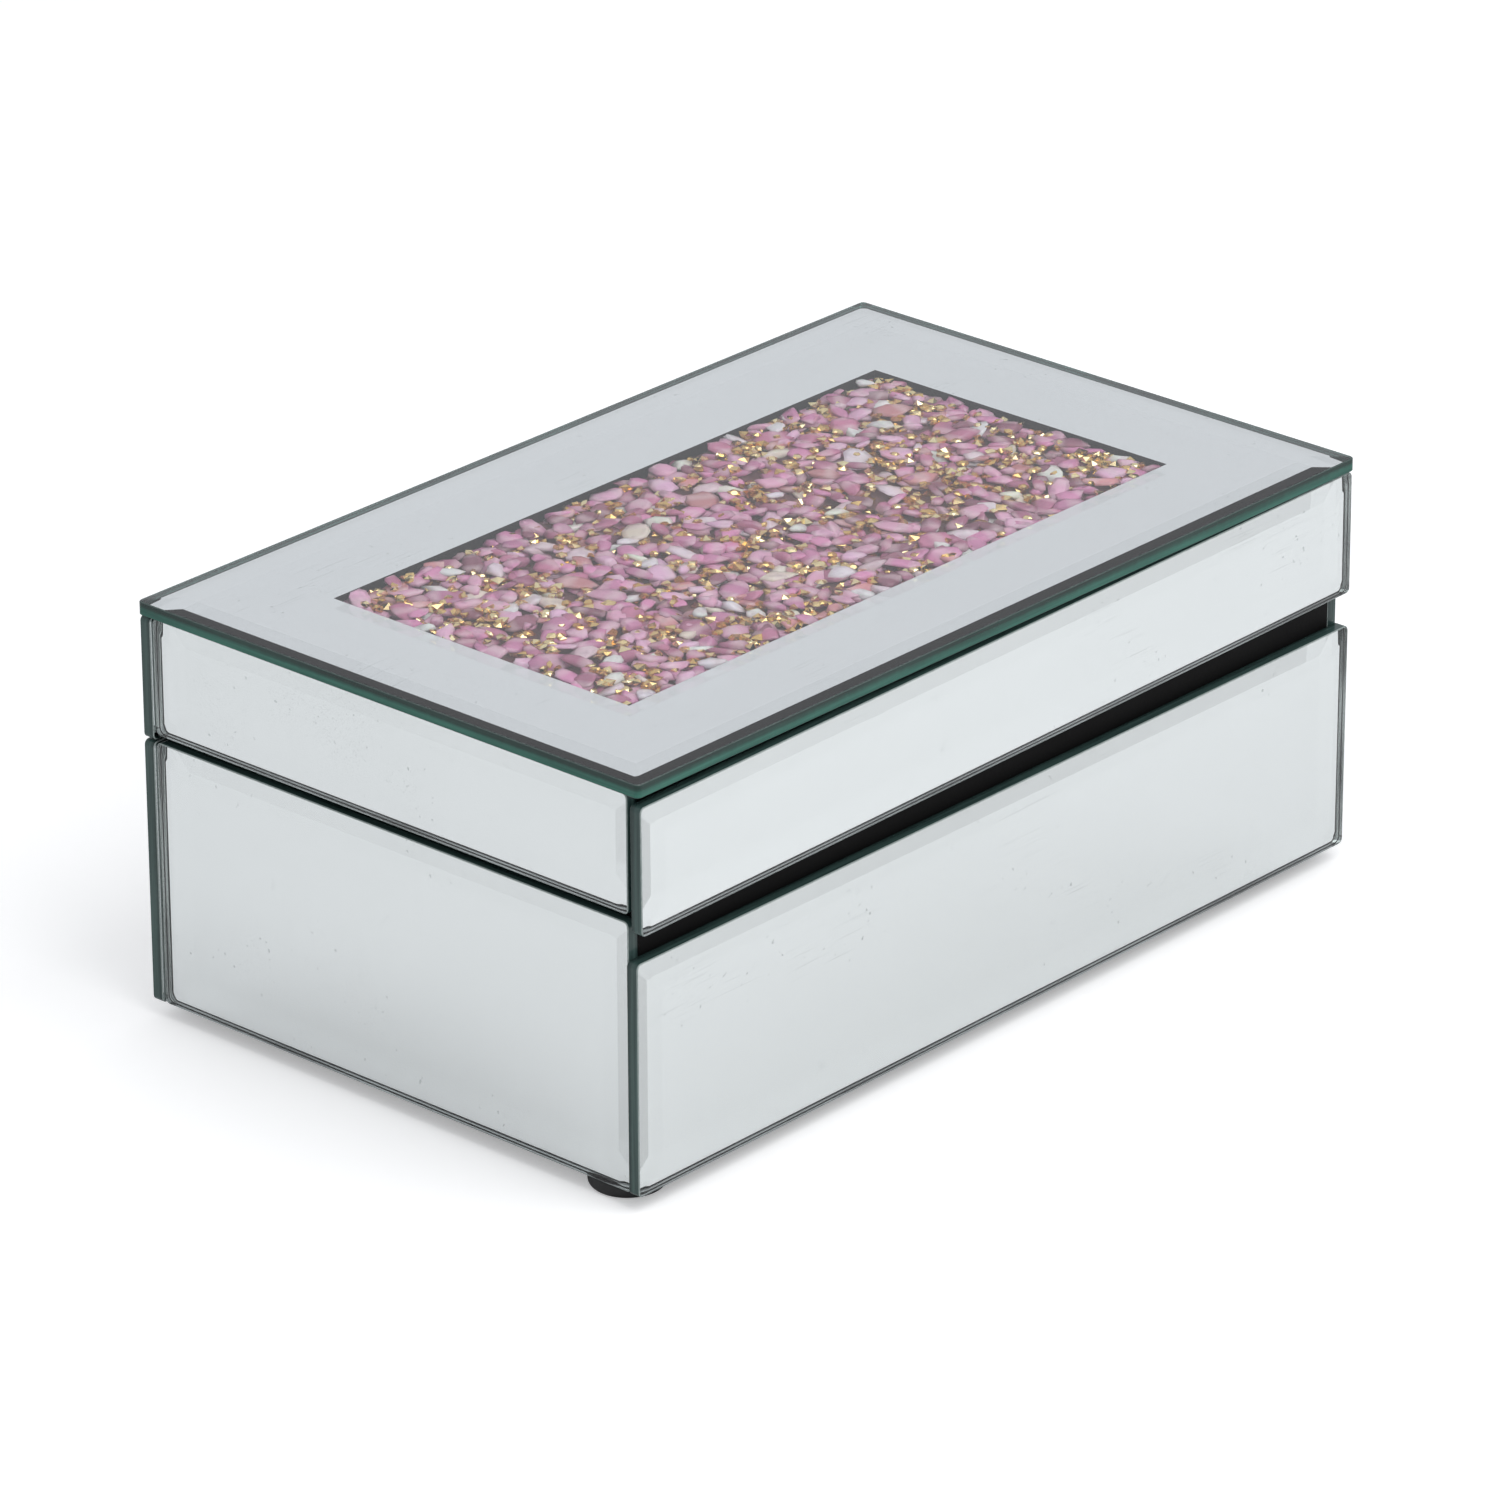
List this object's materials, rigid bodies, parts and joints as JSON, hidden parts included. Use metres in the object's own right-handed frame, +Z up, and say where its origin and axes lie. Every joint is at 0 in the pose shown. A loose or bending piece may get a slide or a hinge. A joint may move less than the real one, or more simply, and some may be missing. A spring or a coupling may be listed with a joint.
{
  "type": "trinket box",
  "caption": "Mirrored glass trinket box with a hinged lid whose clear window shows a bed of mauve stone chips and gold crystals; velvet-lined inside, on round feet.",
  "frame": {"origin": "middle of the whole object's box, on the surface that the feet stand on", "axes": "+X along the width to the right, -Y out of the front where the finger gap is, +Z up through the lid's window"},
  "size_m": [0.25, 0.1569, 0.1048],
  "materials": {
    "mirror_glass": "bevelled silvered float glass with dark green edges",
    "plate_glass": "bevelled float glass, silvered beneath except for the clear window",
    "black_board": "fibreboard painted satin black",
    "black_velvet": "short black velvet pile",
    "foot_rubber": "matt black",
    "clear_silicone": "clear, slightly milky",
    "hinge_steel": "plated, fine brushed",
    "stone_chips": "tumbled banded stone, mauve to lilac and cream",
    "gold_crystals": "faceted, metallised gold"
  },
  "bodies": {
    "base": {"base_board_front": "black_board", "base_board_back": "black_board", "base_board_left": "black_board", "base_board_right": "black_board", "base_floor": "black_board", "base_glass_front": "mirror_glass", "base_glass_back": "mirror_glass", "base_glass_left": "mirror_glass", "base_glass_right": "mirror_glass", "base_lining_front": "black_velvet", "base_lining_back": "black_velvet", "base_lining_left": "black_velvet", "base_lining_right": "black_velvet", "base_pad": "black_velvet", "foot_front_left": "foot_rubber", "foot_front_right": "foot_rubber", "foot_back_left": "foot_rubber", "foot_back_right": "foot_rubber", "lid_rest_dots": "clear_silicone", "hinge_base_leaf_left": "hinge_steel", "hinge_base_leaf_right": "hinge_steel", "hinge_pin_left": "hinge_steel", "hinge_pin_right": "hinge_steel", "hinge_base_screws": "hinge_steel"},
    "lid": {"lid_board_front": "black_board", "lid_board_back": "black_board", "lid_board_left": "black_board", "lid_board_right": "black_board", "lid_deck_front": "black_board", "lid_deck_back": "black_board", "lid_deck_left": "black_board", "lid_deck_right": "black_board", "lid_tray_floor": "black_board", "stone_chips": "stone_chips", "gold_crystals": "gold_crystals", "lid_plate": "plate_glass", "lid_glass_front": "mirror_glass", "lid_glass_back": "mirror_glass", "lid_glass_left": "mirror_glass", "lid_glass_right": "mirror_glass", "lid_glass_glue": "clear_silicone", "lid_lining_front": "black_velvet", "lid_lining_back": "black_velvet", "lid_lining_left": "black_velvet", "lid_lining_right": "black_velvet", "lid_lining_top": "black_velvet", "hinge_lid_leaf_left": "hinge_steel", "hinge_lid_leaf_right": "hinge_steel", "hinge_lid_screws": "hinge_steel"}
  },
  "joints": [
    {"name": "lid_hinge", "type": "hinge", "parent": "base", "child": "lid", "pos_m": [0, 0.07657, 0.07025], "axis": [-1, 0, 0], "range_deg": [0, 105]}
  ]
}
